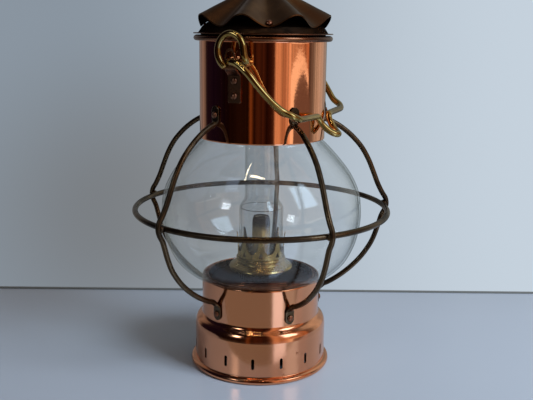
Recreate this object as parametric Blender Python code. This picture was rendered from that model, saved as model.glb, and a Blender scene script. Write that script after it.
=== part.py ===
"""Ship's globe lantern in copper with a round-wick oil burner (metres, +Z up)."""
import math

import bmesh
import bpy
from mathutils import Matrix, Vector

MM = 0.001

# ---- main sizes, millimetres -------------------------------------------------
ROUND_STEPS = 30
ROUND_START = -0.2
SHEET = 1.0
GLASS = 2.2
SLOT_COUNT = 15
SLOT_FIRST = -5.8
SLOT_HEIGHT = 20.2
WIRE_ANGLES = (28.0, 100.0, 172.0, 244.0, 316.0)
RING_RADIUS = 126.0
RING_HEIGHT = 161.6
LUG_ANGLE = -24.0
PIVOT_HEIGHT = 309.6
EYE_HEIGHT = 312.1
BAIL_WIRE = 3.1
RIVET_SHANK = 1.35
RIVET_HOLE = 1.8
RIVET_TAIL_GAP = 0.8
WALL_INNER = 60.5
WALL_OUTER = 61.5
NECK_INNER = 58.6
NECK_OUTER = 59.8
UPPER_RIVET_HEIGHT = 259.0
LOWER_RIVET_HEIGHT = 63.5
LUG_RIVET_HEIGHTS = (277.6, 291.2)
HOOD_FLUTES = 8
HOOD_VALLEY = 5.0
HOOD_STEPS = 48
CONE_SLOPE = 0.72
CONE_FOOT = 339.43
KNOB_OFFSET = 12.5
KNOB_HEIGHT = 106.5

COLOURS = {
    "copper_satin": ((0.45, 0.20, 0.12, 1.0), 1.0, 0.38),
    "copper_polished": ((0.62, 0.26, 0.14, 1.0), 1.0, 0.12),
    "roof_bronze": ((0.11, 0.065, 0.035, 1.0), 1.0, 0.42),
    "guard_bronze": ((0.06, 0.045, 0.032, 1.0), 1.0, 0.4),
    "copper_rivet": ((0.36, 0.13, 0.07, 1.0), 1.0, 0.35),
    "bail_brass": ((0.42, 0.34, 0.13, 1.0), 1.0, 0.22),
    "burner_brass": ((0.30, 0.19, 0.08, 1.0), 1.0, 0.35),
    "clear_glass": ((0.93, 0.96, 0.96, 1.0), 0.0, 0.03),
    "cotton_wick": ((0.30, 0.27, 0.22, 1.0), 0.0, 0.9),
}


def clear_scene():
    for item in list(bpy.data.objects):
        bpy.data.objects.remove(item, do_unlink=True)


def make_materials():
    made = {}
    for name, (colour, metallic, roughness) in COLOURS.items():
        material = bpy.data.materials.new(name)
        material.use_nodes = True
        shader = material.node_tree.nodes["Principled BSDF"]
        shader.inputs["Base Color"].default_value = colour
        shader.inputs["Metallic"].default_value = metallic
        shader.inputs["Roughness"].default_value = roughness
        material.diffuse_color = colour
        made[name] = material
    return made


def polar(angle, radius, height):
    """Point at a plan angle in degrees, 0 toward -Y and 90 toward +X."""
    turn = math.radians(angle)
    return Vector((radius * math.sin(turn), -radius * math.cos(turn), height))


def outward(angle):
    return polar(angle, 1.0, 0.0)


def link(name, mesh_data, slot, origin, frame=None):
    """Turn a bmesh in millimetres into a named object with its origin placed."""
    if frame is not None:
        mesh_data.transform(frame)
    mesh_data.transform(Matrix.Translation(-Vector(origin)))
    mesh_data.transform(Matrix.Scale(MM, 4))
    bmesh.ops.recalc_face_normals(mesh_data, faces=mesh_data.faces)
    mesh = bpy.data.meshes.new(name)
    mesh_data.to_mesh(mesh)
    mesh_data.free()
    if slot:
        mesh.materials.append(MATERIALS[slot])
    item = bpy.data.objects.new(name, mesh)
    item.location = Vector(origin) * MM
    bpy.context.scene.collection.objects.link(item)
    return item


def frame_to(direction, centre):
    """Matrix taking local +Z to a direction and the local origin to a point."""
    turn = Vector((0.0, 0.0, 1.0)).rotation_difference(Vector(direction).normalized())
    return Matrix.Translation(centre) @ turn.to_matrix().to_4x4()


def lathe_mesh(profile, steps, start=0.0):
    """Closed body of revolution from a closed loop of (radius, height)."""
    made = bmesh.new()
    rings = []
    for radius, height in profile:
        if radius == 0.0:
            rings.append([made.verts.new((0.0, 0.0, height))])
            continue
        ring = []
        for index in range(steps):
            ring.append(made.verts.new(polar(start + 360.0 * index / steps, radius, height)))
        rings.append(ring)
    for lower, upper in zip(rings, rings[1:] + rings[:1]):
        for index in range(steps):
            after = (index + 1) % steps
            if len(lower) == 1 and len(upper) == 1:
                continue
            if len(lower) == 1:
                made.faces.new((lower[0], upper[index], upper[after]))
            elif len(upper) == 1:
                made.faces.new((lower[index], upper[0], lower[after]))
            else:
                made.faces.new((lower[index], upper[index], upper[after], lower[after]))
    return made


def lathe(name, profile, slot, steps=ROUND_STEPS, start=ROUND_START, origin=(0.0, 0.0, 0.0),
          frame=None):
    return link(name, lathe_mesh(profile, steps, start), slot, origin, frame)


def thick(points, depth):
    """Close an open line of (radius, height) into a wall, depth on its inner side."""
    inner = []
    for index, (radius, height) in enumerate(points):
        before = points[max(index - 1, 0)]
        after = points[min(index + 1, len(points) - 1)]
        run = Vector((after[0] - before[0], after[1] - before[1])).normalized()
        inner.append((radius - depth * run.y, height + depth * run.x))
    return list(points) + inner[::-1]


def round_profile(radius, height, bar, count):
    turns = [2.0 * math.pi * (index + 0.5) / count for index in range(count)]
    return [(radius + bar * math.cos(turn), height + bar * math.sin(turn)) for turn in turns]


def swept_mesh(points, halves, side, corners, box=False):
    """Bar along points; halves are (half width, half thickness) at each point."""
    made = bmesh.new()
    points = [Vector(point) for point in points]
    last = len(points) - 1
    side = Vector(side).normalized()
    rings = []
    for index, point in enumerate(points):
        into = (point - points[index - 1]).normalized() if index else None
        onward = (points[index + 1] - point).normalized() if index < last else None
        run = ((into or onward) + (onward or into)).normalized()
        side = (side - run * side.dot(run)).normalized()
        across = run.cross(side)
        stretch = 1.0
        if into is not None and onward is not None:
            stretch = 1.0 / max(into.dot(run), 0.6)
        bend = (onward - into) if stretch > 1.0 else Vector((0.0, 0.0, 0.0))
        wide = stretch if bend.length > 0.0 and abs(bend.normalized().dot(side)) > 0.7 else 1.0
        deep = stretch if bend.length > 0.0 and abs(bend.normalized().dot(across)) > 0.7 else 1.0
        ring = []
        for corner in range(corners):
            turn = 2.0 * math.pi * (corner + 0.5) / corners
            first = math.cos(turn)
            second = math.sin(turn)
            if box:
                first = math.copysign(1.0, first)
                second = math.copysign(1.0, second)
            offset = side * (first * halves[index][0] * wide)
            offset += across * (second * halves[index][1] * deep)
            ring.append(made.verts.new(point + offset))
        rings.append(ring)
    for lower, upper in zip(rings, rings[1:]):
        for corner in range(corners):
            after = (corner + 1) % corners
            made.faces.new((lower[corner], upper[corner], upper[after], lower[after]))
    made.faces.new(rings[0])
    made.faces.new(rings[-1])
    return made


def block_mesh(angle, inner, outer, half_width, low, high):
    """Straight block standing at a plan angle."""
    made = bmesh.new()
    away = outward(angle)
    along = Vector((away.y, -away.x, 0.0))
    corners = []
    for radius in (inner, outer):
        for offset in (-half_width, half_width):
            for height in (low, high):
                point = away * radius + along * offset
                corners.append(made.verts.new((point.x, point.y, height)))
    for loop in ((0, 1, 3, 2), (4, 5, 7, 6), (0, 1, 5, 4), (2, 3, 7, 6), (0, 2, 6, 4), (1, 3, 7, 5)):
        made.faces.new([corners[index] for index in loop])
    return made


def outline_mesh(outline, direction, centre, up, depth):
    """Prism with an (across, up) outline, pushed both ways along a direction."""
    made = bmesh.new()
    direction = Vector(direction).normalized()
    up = Vector(up).normalized()
    across = up.cross(direction)
    ends = []
    for reach in (-depth, depth):
        ring = []
        for side, rise in outline:
            point = Vector(centre) + across * side + up * rise + direction * reach
            ring.append(made.verts.new(point))
        ends.append(ring)
    count = len(outline)
    for index in range(count):
        after = (index + 1) % count
        made.faces.new((ends[0][index], ends[1][index], ends[1][after], ends[0][after]))
    made.faces.new(ends[0])
    made.faces.new(ends[1])
    return made


def oval(half_width, half_height, count):
    turns = [2.0 * math.pi * index / count for index in range(count)]
    return [(half_width * math.cos(turn), half_height * math.sin(turn)) for turn in turns]


def cut(target, pieces):
    """Subtract a list of bmesh prisms from an object through one hidden cutter."""
    joined = bmesh.new()
    for piece in pieces:
        bmesh.ops.recalc_face_normals(piece, faces=piece.faces)
        scratch = bpy.data.meshes.new("scratch")
        piece.to_mesh(scratch)
        piece.free()
        joined.from_mesh(scratch)
        bpy.data.meshes.remove(scratch)
    cutter = link(target.name + "_cutter", joined, None, (0.0, 0.0, 0.0))
    cutter.hide_render = True
    cutter.display_type = "WIRE"
    modifier = target.modifiers.new("openings", "BOOLEAN")
    modifier.operation = "DIFFERENCE"
    modifier.solver = "EXACT"
    modifier.object = cutter


def rivet_hole(direction, centre, up=(0.0, 0.0, 1.0), depth=6.0):
    return outline_mesh(oval(RIVET_HOLE, RIVET_HOLE, 10), direction, centre, up, depth)


def rivet(name, direction, centre, tail, head, slot="copper_rivet"):
    """Domed rivet; tail and head are where its faces meet the sheets."""
    profile = (
        (0.0, tail - 1.2),
        (2.5, tail - 1.2),
        (2.5, tail),
        (RIVET_SHANK, tail),
        (RIVET_SHANK, head),
        (3.1, head),
        (2.3, head + 1.5),
        (0.0, head + 2.1),
    )
    return lathe(name, profile, slot, 8, 0.0, centre, frame_to(direction, centre))


def build_base():
    outer = [
        (66.6, 0.0), (69.6, 0.0), (71.1, 1.2), (71.5, 2.8), (70.9, 4.6), (69.2, 5.8),
        (67.2, 6.2), (67.0, 7.4), (67.0, 41.0), (66.4, 44.9), (64.9, 48.2), (62.8, 50.4),
        (61.2, 51.8), (60.2, 53.4), (NECK_OUTER, 55.2), (NECK_OUTER, 91.4), (59.4, 92.0),
    ]
    inner = [
        (58.8, 92.0), (NECK_INNER, 91.4), (NECK_INNER, 55.0), (59.0, 52.8), (60.1, 51.0),
        (61.9, 49.4), (64.0, 47.4), (65.3, 44.4), (65.8, 41.0), (65.8, 1.2),
    ]
    shell = lathe("base_shell", outer + inner, "copper_satin")
    slot_outline = [(-1.5, -4.4), (-0.9, -5.5), (0.9, -5.5), (1.5, -4.4)]
    slot_outline += [(-side, -rise) for side, rise in slot_outline]
    pieces = []
    for index in range(SLOT_COUNT):
        angle = SLOT_FIRST + index * 360.0 / SLOT_COUNT
        middle = polar(angle, 66.4, SLOT_HEIGHT)
        pieces.append(outline_mesh(slot_outline, outward(angle), middle, (0.0, 0.0, 1.0), 3.0))
    for angle in WIRE_ANGLES:
        pieces.append(rivet_hole(outward(angle), polar(angle, 59.2, LOWER_RIVET_HEIGHT), depth=3.0))
    cut(shell, pieces)
    seat = [(53.5, 86.4), (58.2, 86.4), (58.2, 88.9), (54.6, 88.9), (54.6, 93.0), (53.5, 93.0)]
    lathe("globe_seat_ring", seat, "copper_satin")
    for index in range(3):
        catch = block_mesh(60.0 + 120.0 * index, 57.0, 64.8, 7.0, 27.0, 29.6)
        link("font_catch_%d" % (index + 1), catch, "copper_satin", (0.0, 0.0, 0.0))


def build_font():
    outer = [
        (0.0, 12.0), (48.0, 12.0), (51.0, 14.5), (51.0, 84.6), (49.8, 86.8), (24.0, 87.8),
        (19.6, 88.0),
    ]
    inner = [
        (18.4, 86.9), (23.9, 86.6), (49.0, 85.6), (49.8, 84.2), (49.8, 15.1), (47.5, 13.2),
        (0.0, 13.2),
    ]
    lathe("font", outer + inner, "copper_satin", 30, 0.0)
    collar = [(17.5, 88.4), (22.4, 88.4), (22.4, 94.0), (21.6, 94.6), (17.5, 94.6)]
    lathe("font_collar", collar, "burner_brass", 28, 0.0)
    for index in range(3):
        tab = block_mesh(60.0 + 120.0 * index, 51.3, 60.5, 4.0, 30.0, 31.6)
        link("font_tab_%d" % (index + 1), tab, "copper_satin", (0.0, 0.0, 0.0))


def build_burner():
    body_outer = [
        (17.1, 84.5), (17.1, 94.9), (24.5, 95.4), (31.5, 98.4), (32.3, 100.2), (31.2, 102.0),
        (25.8, 104.6), (24.7, 106.0), (24.7, 111.2),
    ]
    body_inner = [
        (23.7, 111.2), (23.7, 105.6), (25.2, 103.7), (30.4, 101.1), (31.1, 100.2),
        (30.6, 99.3), (24.2, 96.5), (9.4, 96.1), (9.4, 94.9), (16.0, 94.4), (16.0, 84.5),
    ]
    body = lathe("burner_body", body_outer + body_inner, "burner_brass", 24, 0.0)
    along = Vector((0.0, 1.0, 0.0))
    hole = outline_mesh(oval(1.9, 1.9, 10), along, (KNOB_OFFSET, 22.0, KNOB_HEIGHT),
                        (0.0, 0.0, 1.0), 7.0)
    cut(body, [hole])

    gallery = [
        (12.5, 111.5), (23.7, 111.5), (23.7, 127.0), (24.9, 136.0), (24.0, 136.0), (22.8, 127.0),
        (22.8, 112.4), (12.5, 112.4),
    ]
    cup = lathe("chimney_gallery", gallery, "burner_brass", 24, 0.0)
    gaps = [block_mesh(22.5 + 45.0 * index, 20.0, 27.0, 6.0, 116.0, 138.0) for index in range(8)]
    cut(cup, gaps)

    tube = [(9.0, 86.0), (9.0, 151.0), (8.15, 151.0), (8.15, 86.0)]
    wick_tube = lathe("wick_tube", tube, "burner_brass", 20, 0.0)
    window = outline_mesh([(-2.0, -5.2), (2.0, -5.2), (2.0, 5.2), (-2.0, 5.2)], (1.0, 0.0, 0.0),
                          (9.2, 0.0, KNOB_HEIGHT), (0.0, 0.0, 1.0), 2.0)
    cut(wick_tube, [window])
    draught = [(6.4, 97.0), (6.4, 150.4), (5.4, 150.4), (5.4, 97.0)]
    lathe("draught_tube", draught, "burner_brass", 20, 0.0)
    wick = [(7.8, 60.0), (7.8, 152.4), (6.8, 152.4), (6.8, 60.0)]
    lathe("wick", wick, "cotton_wick", 20, 0.0)

    centre = Vector((KNOB_OFFSET, 0.0, KNOB_HEIGHT))
    teeth = []
    for index in range(20):
        reach = 4.3 if index % 2 else 3.4
        turn = 2.0 * math.pi * index / 20
        teeth.append((reach * math.cos(turn), reach * math.sin(turn)))
    wheel = outline_mesh(teeth, along, centre, (0.0, 0.0, 1.0), 1.1)
    wheel_item = link("wick_wheel", wheel, "burner_brass", centre)
    cut(wheel_item, [outline_mesh(oval(1.6, 1.6, 10), along, centre, (0.0, 0.0, 1.0), 3.0)])
    shaft = [(0.0, -4.0), (1.2, -4.0), (1.2, 41.0), (0.0, 41.0)]
    lathe("wick_shaft", shaft, "burner_brass", 10, 0.0, centre, frame_to(along, centre))
    knob = [
        (1.6, 37.0), (3.0, 37.0), (3.0, 39.4), (8.4, 39.4), (9.0, 40.0), (9.0, 41.4), (8.4, 42.0),
        (1.6, 42.0),
    ]
    lathe("wick_knob", knob, "burner_brass", 14, 0.0, centre, frame_to(along, centre))

    chimney = [
        (22.2, 112.9), (22.2, 158.5), (21.7, 162.5), (19.6, 166.5), (17.6, 169.6), (16.8, 173.5),
        (16.8, 315.0), (17.0, 316.0),
    ]
    lathe("chimney", thick(chimney, 1.4), "clear_glass", 20, 0.0)


def build_globe():
    outer = [
        (57.6, 89.4), (57.8, 91.6), (61.2, 93.9), (67.2, 96.0), (75.2, 99.8), (87.0, 111.8),
        (95.4, 129.0), (99.2, 146.0), (100.0, 160.0), (97.6, 179.0), (89.2, 197.2), (77.2, 212.8),
        (66.0, 225.0), (60.6, 230.2), (59.4, 233.4), (59.4, 240.0),
    ]
    lathe("globe", thick(outer, GLASS), "clear_glass")


def wire_path(angle):
    """Guard wire centre line, flattened ends first and last."""
    line = (
        (60.9, 57.2), (60.9, 63.5), (60.9, 69.6), (62.4, 73.0), (66.8, 77.0), (72.0, 79.0),
        (81.0, 83.8), (90.0, 89.8), (98.0, 96.4), (106.0, 104.5), (112.5, 113.0), (117.6, 121.5),
        (121.6, 131.5), (124.8, 142.0), (127.2, 149.5), (130.6, 156.0), (131.9, 161.6),
        (130.6, 167.6), (126.6, 173.8), (121.5, 183.5), (116.5, 195.5), (110.5, 208.8),
        (102.5, 221.8), (91.5, 233.6), (80.0, 242.6), (70.0, 248.2), (65.2, 250.0), (62.7, 252.9),
        (62.7, 259.0), (62.7, 267.6),
    )
    paddle = (4.8, 0.8)
    neck = (3.6, 1.6)
    bar = (2.6, 2.6)
    halves = [(3.6, 0.8), paddle, paddle, neck]
    halves += [bar] * (len(line) - 8)
    halves += [neck, paddle, paddle, (3.6, 0.8)]
    points = [polar(angle, radius, height) for radius, height in line]
    return points, halves


def build_guard():
    lathe("guard_ring", round_profile(RING_RADIUS, RING_HEIGHT, 2.75, 8), "guard_bronze", 40, 0.0)
    for index, angle in enumerate(WIRE_ANGLES):
        number = index + 1
        away = outward(angle)
        along = Vector((-away.y, away.x, 0.0))
        points, halves = wire_path(angle)
        wire = link("guard_wire_%d" % number, swept_mesh(points, halves, along, 6),
                    "guard_bronze", (0.0, 0.0, 0.0))
        upper = polar(angle, 62.7, UPPER_RIVET_HEIGHT)
        lower = polar(angle, 60.9, LOWER_RIVET_HEIGHT)
        cut(wire, [rivet_hole(away, upper, depth=3.0), rivet_hole(away, lower, depth=3.0)])
        rivet("upper_rivet_%d" % number, away, upper, WALL_INNER - RIVET_TAIL_GAP - 62.7, 1.1)
        rivet("lower_rivet_%d" % number, away, lower, NECK_INNER - RIVET_TAIL_GAP - 60.9, 1.1)


def build_cylinder():
    profile = [
        (WALL_INNER, 233.2), (WALL_OUTER, 233.2), (WALL_OUTER, 326.4), (62.7, 326.5),
        (64.4, 325.9), (66.3, 326.7), (67.1, 328.6), (66.3, 330.5), (64.4, 331.3), (62.4, 330.7),
        (WALL_INNER, 330.6),
    ]
    wall = lathe("upper_cylinder", profile, "copper_polished")
    pieces = []
    for angle in WIRE_ANGLES:
        pieces.append(rivet_hole(outward(angle), polar(angle, 61.0, UPPER_RIVET_HEIGHT), depth=3.0))
    for angle in (LUG_ANGLE, LUG_ANGLE + 180.0):
        for height in LUG_RIVET_HEIGHTS:
            pieces.append(rivet_hole(outward(angle), polar(angle, 61.0, height), depth=3.0))
    cut(wall, pieces)
    collar = [
        (56.5, 240.6), (59.9, 240.6), (59.9, 247.0), (58.9, 247.0), (58.9, 241.8), (56.5, 241.8),
    ]
    lathe("globe_collar", collar, "copper_satin")


def stadium(half_width, half_height, steps):
    """Upright slot outline with round ends."""
    points = []
    straight = half_height - half_width
    for end in (1.0, -1.0):
        for index in range(steps):
            turn = math.radians(180.0 * index / (steps - 1))
            points.append((end * half_width * math.cos(turn),
                           end * (straight + half_width * math.sin(turn))))
    return points


def build_lugs():
    line = (
        (62.85, 271.2), (62.85, 272.7), (62.85, 278.0), (62.85, 294.8), (63.6, 296.8),
        (70.3, 301.4), (71.5, 303.4), (71.5, 309.0), (71.5, 313.4), (71.5, 316.4), (71.5, 318.6),
        (71.5, 320.2),
    )
    halves = [5.6, 6.5, 6.5, 6.5, 6.3, 5.7, 5.6, 5.6, 5.6, 4.7, 3.5, 1.9]
    for number, angle in ((1, LUG_ANGLE), (2, LUG_ANGLE + 180.0)):
        away = outward(angle)
        along = Vector((-away.y, away.x, 0.0))
        points = [polar(angle, radius, height) for radius, height in line]
        plate = swept_mesh(points, [(half, 1.0) for half in halves], along, 4, box=True)
        lug = link("bail_lug_%d" % number, plate, "copper_polished", (0.0, 0.0, 0.0))
        eye = outline_mesh(stadium(3.6, 6.0, 8), away, polar(angle, 71.5, EYE_HEIGHT),
                           (0.0, 0.0, 1.0), 2.4)
        holes = [rivet_hole(away, polar(angle, 62.85, height), depth=2.4)
                 for height in LUG_RIVET_HEIGHTS]
        cut(lug, [eye] + holes)
        for place, height in enumerate(LUG_RIVET_HEIGHTS):
            rivet("lug_rivet_%d" % (2 * number - 1 + place), away, polar(angle, 62.85, height),
                  WALL_INNER - RIVET_TAIL_GAP - 62.85, 1.3)


def bail_half():
    """Half of the bail wire as (out along the pivot line, sideways, up) from the pivot."""
    points = []
    for turn in (-120.0, -136.0, -153.0, -173.0, 166.0, 145.0, 124.0, 103.0, 82.0, 61.0, 40.0, 20.0,
                 0.0):
        swing = math.radians(turn)
        points.append((75.9, 2.5 + 12.6 * math.cos(swing), 8.4 + 15.3 * math.sin(swing)))
    points += [
        (75.9, 15.8, 4.6), (74.9, 16.6, 1.2), (72.0, 16.2, -1.2), (69.4, 14.8, -2.3),
        (66.5, 10.6, -2.2), (65.3, 6.0, -1.5), (65.9, 1.9, -0.5), (67.8, 0.1, 0.0), (70.4, 0.0, 0.0),
        (73.2, 0.1, -0.1), (75.8, 1.2, -0.6), (78.0, 3.8, -0.8), (79.8, 6.6, -0.9),
        (80.6, 12.2, -2.9), (81.8, 21.4, -9.6), (80.6, 29.5, -19.3), (77.6, 36.9, -28.5),
        (73.4, 43.6, -36.4), (68.4, 50.0, -42.7), (64.9, 57.1, -46.7), (61.8, 59.8, -48.6),
        (58.2, 61.3, -49.8), (53.0, 61.9, -50.4), (36.0, 62.2, -50.9), (19.5, 62.8, -51.4),
        (15.2, 63.6, -52.4), (12.4, 65.5, -57.1), (9.6, 69.8, -62.6), (6.4, 74.3, -66.5),
        (3.4, 77.6, -68.3),
    ]
    return points, (0.0, 79.0, -68.7)


def build_bail():
    away = outward(LUG_ANGLE)
    sideways = Vector((-away.y, away.x, 0.0))
    pivot = Vector((0.0, 0.0, PIVOT_HEIGHT))
    half, apex = bail_half()
    line = half + [apex] + [(-out, side, rise) for out, side, rise in half[::-1]]
    points = [pivot + away * out + sideways * side + Vector((0.0, 0.0, rise))
              for out, side, rise in line]
    halves = [(BAIL_WIRE, BAIL_WIRE)] * len(points)
    link("bail_handle", swept_mesh(points, halves, away, 6), "bail_brass", pivot)


def build_lid():
    profile = [
        (67.2, 332.4), (67.2, 333.4), (62.6, 333.4), (58.5, CONE_FOOT),
        (34.0, CONE_FOOT + 24.5 * CONE_SLOPE), (34.0, CONE_FOOT - 1.3 + 24.5 * CONE_SLOPE),
        (57.4, 338.92), (59.1, 336.4), (59.1, 320.0), (60.1, 320.0), (60.1, 332.4),
    ]
    plate = lathe("lid_plate", profile, "roof_bronze")
    made = bmesh.new()
    reaches = (0.0, 0.2, 0.45, 0.72, 1.0)
    upper = []
    lower = []
    for reach in reaches:
        top_ring = []
        low_ring = []
        for index in range(HOOD_STEPS):
            angle = HOOD_VALLEY + 360.0 * index / HOOD_STEPS
            flute = 0.5 - 0.5 * math.cos(math.radians(HOOD_FLUTES * (angle - HOOD_VALLEY)))
            rim = 60.0 + 6.0 * flute
            radius = rim + (3.4 - rim) * reach
            valley = 340.0 + (60.0 - radius) * CONE_SLOPE
            crest = 350.5 + (66.0 - radius) * 0.487
            height = valley + (crest - valley) * flute
            top_ring.append(made.verts.new(polar(angle, radius, height)))
            low_ring.append(made.verts.new(polar(angle, radius, height - 1.3)))
        upper.append(top_ring)
        lower.append(low_ring)
    loop = upper + lower[::-1]
    for first, second in zip(loop, loop[1:] + loop[:1]):
        for index in range(HOOD_STEPS):
            after = (index + 1) % HOOD_STEPS
            made.faces.new((first[index], second[index], second[after], first[after]))
    hood = link("hood", made, "roof_bronze", (0.0, 0.0, 0.0))

    hood_holes = []
    plate_holes = []
    slope = math.atan(CONE_SLOPE)
    for index in range(4):
        angle = HOOD_VALLEY + 90.0 * index
        normal = polar(angle, math.sin(slope), math.cos(slope))
        centre = polar(angle, 56.0, 341.23)
        hood_holes.append(rivet_hole(normal, centre, outward(angle + 90.0), 4.0))
        plate_holes.append(rivet_hole(normal, centre, outward(angle + 90.0), 4.0))
        rivet("hood_rivet_%d" % (index + 1), normal, centre, -1.4, 2.3)
    cut(hood, hood_holes)
    cut(plate, plate_holes)
    cap = [
        (0.0, 376.6), (4.6, 376.6), (4.6, 377.7), (2.6, 378.0), (2.6, 382.6), (9.0, 381.6),
        (9.4, 382.3), (7.6, 384.8), (4.2, 387.0), (0.0, 387.8),
    ]
    lathe("hood_cap", cap, "roof_bronze", 16, 0.0)


clear_scene()
MATERIALS = make_materials()
build_base()
build_font()
build_burner()
build_globe()
build_guard()
build_cylinder()
build_lugs()
build_bail()
build_lid()
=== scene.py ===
"""Looks of the ship's oil lantern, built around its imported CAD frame.

Lengths are in millimetres, but the camera, the table, the lamps and the materials use metres. Angles are in
degrees and run round the lantern's upright axis from the front (-Y) towards the right (+X).
"""

import math

import bmesh
import bpy
from mathutils import Matrix, Vector, noise


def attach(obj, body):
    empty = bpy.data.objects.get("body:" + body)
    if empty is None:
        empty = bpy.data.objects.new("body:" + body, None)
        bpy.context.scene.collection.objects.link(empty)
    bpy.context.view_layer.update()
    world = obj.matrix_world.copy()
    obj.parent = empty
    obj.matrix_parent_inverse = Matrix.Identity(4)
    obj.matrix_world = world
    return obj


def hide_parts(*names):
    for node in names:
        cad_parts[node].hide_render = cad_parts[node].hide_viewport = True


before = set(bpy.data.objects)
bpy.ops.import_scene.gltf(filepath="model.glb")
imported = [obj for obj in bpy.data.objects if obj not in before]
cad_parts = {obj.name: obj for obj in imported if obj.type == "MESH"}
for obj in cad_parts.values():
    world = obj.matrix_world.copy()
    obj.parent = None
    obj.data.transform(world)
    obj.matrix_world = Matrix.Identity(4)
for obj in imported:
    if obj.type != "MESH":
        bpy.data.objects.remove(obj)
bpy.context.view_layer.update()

MM = 0.001
TAU = 2 * math.pi
TINY = 1e-6
SIDES = 144
SHARP = math.radians(38)

# eased(): a corner takes at most CORNER_SHARE of a side. A side longer than HOLD_FROM gets an extra point at
# HOLD from each corner, which keeps the shading of its straight part straight.
CORNER_SHARE = 0.42
HOLD = 1.3
HOLD_FROM = 4.0

# camera, in metres and radians
EYE = Vector((0.0, -0.7596, 0.33887))
PITCH = 0.2204
YAW = 0.0067
ROLL = 0.0124
LENS = 52.09
SENSOR = 36.0

# table top, in metres
TABLE_BACK = 0.208
TABLE_FRONT = -0.11
TABLE_HALF = 1.3
TABLE_THICK = 0.03
TABLE_EDGE = 0.002
# the thin dark strip along the table's back edge is a painted shadow there
EDGE_SHADOW_WIDE = 0.004
EDGE_SHADOW_HEIGHTS = (0.0002, 0.0018)
TABLE_TINT = (0.40, 0.455, 0.55)
TABLE_TINT_WARM = (0.43, 0.485, 0.58)

# base
SLOT_COUNT = 15
SLOT_FIRST = -5.8
SLOT_HEIGHT = 20.2

# burner: the winder's level spindle runs towards the back
SPINDLE_OUT = 12.5
SPINDLE_HEIGHT = 106.5
SPRING_COUNT = 8

# guard cage
RING_RADIUS = 126.0
RING_HEIGHT = 161.6
RING_BAR = 2.75
WIRE_ANGLES = (28, 100, 172, 244, 316)
WIRE_BAR = 2.6
WIRE_ON_RING = 131.9

# bail
BAIL_ANGLE = -24
BAIL_PIVOT = Vector((0, 0, 309.6))
BAIL_BAR = 3.1
EYE_HEIGHT = 312.1
STRAP_OUT = 62.85
LUG_RIVET_HEIGHTS = (277.6, 291.2)

# lid: the fluted hood is riveted through its valleys to a plain cone
FLUTES = 8
VALLEY = 5
HOOD_SHEET = 1.3
CONE_SLOPE = 0.72
CONE_RIM = 58.5
CONE_FOOT = 339.43
VALLEY_RIM = 60
VALLEY_FOOT = 340
CREST_RIM = 66
CREST_FOOT = 350.5
CREST_SLOPE = 0.487
HOOD_RIVET_OUT = 56
# inside this reach the lid's plate takes the painted shade under the hood
HOOD_SHADE_REACH = 64.5


# ---------------------------------------------------------------- shapes


def outward(angle):
    """The level direction away from the lantern's axis."""
    a = math.radians(angle)
    return Vector((math.sin(a), -math.cos(a), 0))


def along(angle):
    """The level direction of growing angle."""
    a = math.radians(angle)
    return Vector((math.cos(a), math.sin(a), 0))


def polar(angle, radius, height):
    """A point from its angle, its distance from the axis and its height."""
    return outward(angle) * radius + Vector((0, 0, height))


def placed(name, data):
    """A new object in the scene."""
    obj = bpy.data.objects.new(name, data)
    bpy.context.scene.collection.objects.link(obj)
    return obj


def piece(name, verts, faces, smooth=True):
    """A mesh object from millimetre points, with its normals out and its corners crisp."""
    mesh = bpy.data.meshes.new(name)
    mesh.from_pydata([v * MM for v in map(Vector, verts)], [], faces)
    bm = bmesh.new()
    bm.from_mesh(mesh)
    bmesh.ops.recalc_face_normals(bm, faces=bm.faces)
    bm.to_mesh(mesh)
    bm.free()
    obj = placed(name, mesh)
    soften(obj, smooth)
    return obj


def soften(obj, smooth=True):
    """Smooth shading with crisp corners, or flat shading."""
    for face in obj.data.polygons:
        face.use_smooth = smooth
    if smooth:
        obj.data.set_sharp_from_angle(angle=SHARP)


def joined(name, parts):
    """One object from several, each of which is a closed shell."""
    bm = bmesh.new()
    for part in parts:
        bm.from_mesh(part.data)
        bpy.data.objects.remove(part)
    mesh = bpy.data.meshes.new(name)
    bm.to_mesh(mesh)
    bm.free()
    obj = placed(name, mesh)
    soften(obj)
    return obj


def cut(obj, cutters):
    """Takes the cutters' space out of obj."""
    tool = joined(obj.name + "_cut", cutters)
    step = obj.modifiers.new("cut", "BOOLEAN")
    step.operation = "DIFFERENCE"
    step.solver = "EXACT"
    step.object = tool
    graph = bpy.context.evaluated_depsgraph_get()
    graph.update()
    mesh = bpy.data.meshes.new_from_object(obj.evaluated_get(graph))
    obj.modifiers.clear()
    obj.data = mesh
    bpy.data.objects.remove(tool)
    soften(obj)
    return obj


def smooth_run(points, per):
    """A Catmull-Rom curve through the points, with per steps between each two."""
    pts = [Vector(p) for p in points]
    last = len(pts) - 1
    out = []
    for i in range(last):
        a, b, c, d = (pts[min(max(i + k, 0), last)] for k in (-1, 0, 1, 2))
        slope = c - a
        bend = 2 * a - 5 * b + 4 * c - d
        twist = 3 * b - a - 3 * c + d
        for k in range(per):
            t = k / per
            out.append(0.5 * (2 * b + slope * t + bend * t * t + twist * t * t * t))
    return out + [pts[-1]]


def eased(points, radius, steps=3):
    """The closed run of (radius, height) points with every corner turned into a small curve."""
    pts = [Vector(p) for p in points]
    out = []
    for i, here in enumerate(pts):
        back = pts[i - 1] - here
        on = pts[(i + 1) % len(pts)] - here
        if min(here.x, back.length, on.length) < TINY:
            out.append(here)
            continue
        take = min(radius, CORNER_SHARE * back.length, CORNER_SHARE * on.length)
        start = here + back.normalized() * take
        end = here + on.normalized() * take
        for k in range(steps + 1):
            t = k / steps
            out.append(start * (1 - t) ** 2 + here * 2 * t * (1 - t) + end * t * t)
        if on.length > HOLD_FROM:
            out.append(here + on.normalized() * HOLD)
            out.append(here + on - on.normalized() * HOLD)
    return out


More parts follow.
